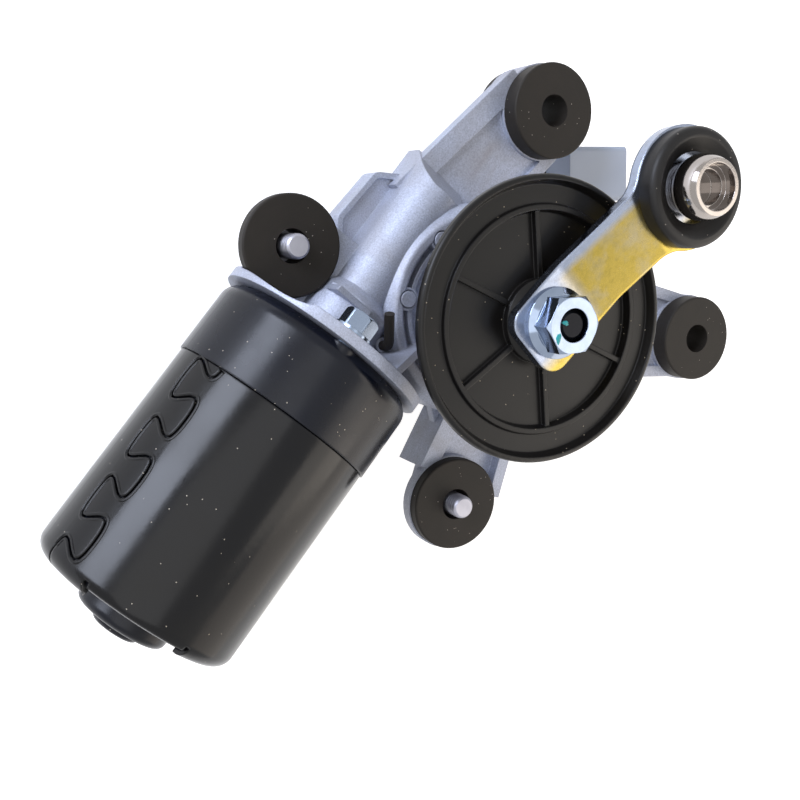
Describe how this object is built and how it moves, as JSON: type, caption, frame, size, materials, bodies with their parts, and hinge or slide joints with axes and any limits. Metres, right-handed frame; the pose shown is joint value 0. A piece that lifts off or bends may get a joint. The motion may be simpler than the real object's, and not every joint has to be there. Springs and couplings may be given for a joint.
{
  "type": "wiper motor",
  "caption": "Windscreen wiper motor with black can, die-cast worm gearbox, splash disc, cranked arm with ball pin and four rubber mounting grommets",
  "frame": {"origin": "the output shaft's axis at the plane of the four grommets' front faces", "axes": "+Z along the output shaft towards the crank, +X along the armature from the can towards the gearbox"},
  "size_m": [0.1964, 0.147, 0.0852],
  "materials": {
    "can_paint": "satin",
    "die_cast": "satin",
    "zinc_steel": "satin",
    "bright_plate": "gloss",
    "ground_steel": "satin",
    "black_rubber": "matte",
    "black_plastic": "satin",
    "pale_plastic": "satin",
    "gear_plastic": "satin",
    "card_board": "matte",
    "ferrite": "matte",
    "copper": "satin",
    "brass_strip": "satin",
    "sintered_bronze": "matte",
    "carbon": "matte"
  },
  "bodies": {
    "base": {"yoke_can": "can_paint", "flux_sleeve": "can_paint", "magnet_upper": "ferrite", "magnet_lower": "ferrite", "magnet_clips": "zinc_steel", "rear_bush": "sintered_bronze", "rear_bush_retainer": "zinc_steel", "thrust_button": "black_plastic", "brush_card": "card_board", "brush_holder_common": "brass_strip", "brush_holder_low_speed": "brass_strip", "brush_holder_high_speed": "brass_strip", "brush_common": "carbon", "brush_low_speed": "carbon", "brush_high_speed": "carbon", "brush_springs": "brass_strip", "chokes": "ferrite", "motor_blades": "brass_strip", "gearbox_housing": "die_cast", "front_bearing_outer": "ground_steel", "front_bearing_balls": "ground_steel", "bearing_clip": "zinc_steel", "tail_bush": "sintered_bronze", "thrust_ball": "ground_steel", "thrust_pad": "zinc_steel", "gear_cover": "black_plastic", "cover_gasket": "black_rubber", "cover_screws": "zinc_steel", "connector_shell": "pale_plastic", "connector_terminals": "brass_strip", "park_contacts": "brass_strip", "yoke_screws": "zinc_steel", "yoke_screw_washers": "zinc_steel", "vent_tube": "black_rubber", "output_bush_lower": "sintered_bronze", "output_bush_upper": "sintered_bronze", "splash_disc": "black_plastic", "grommet_1": "black_rubber", "grommet_2": "black_rubber", "grommet_3": "black_rubber", "grommet_4": "black_rubber", "mount_bolt_1": "zinc_steel", "mount_bolt_4": "zinc_steel"},
    "armature": {"armature_shaft": "ground_steel", "worm": "ground_steel", "armature_core": "ground_steel", "armature_winding": "copper", "commutator": "copper", "commutator_hub": "black_plastic", "front_bearing_inner": "ground_steel"},
    "crank": {"worm_wheel": "gear_plastic", "park_contact_plate": "brass_strip", "output_shaft": "ground_steel", "thrust_washer": "zinc_steel", "circlip": "zinc_steel", "crank_arm": "zinc_steel", "crank_nut": "bright_plate", "ball_stud": "bright_plate", "ball_seal": "black_rubber"}
  },
  "joints": [
    {"name": "output_spin", "type": "hinge", "parent": "base", "child": "crank", "pos_m": [0, 0, 0], "axis": [0, 0, 1], "continuous": true},
    {"name": "armature_spin", "type": "hinge", "parent": "base", "child": "armature", "pos_m": [0, 0.028, -0.0034], "axis": [1, 0, 0], "continuous": true}
  ],
  "couplings": [
    {"joint": "armature_spin", "follows": "output_spin", "ratio": 46}
  ]
}
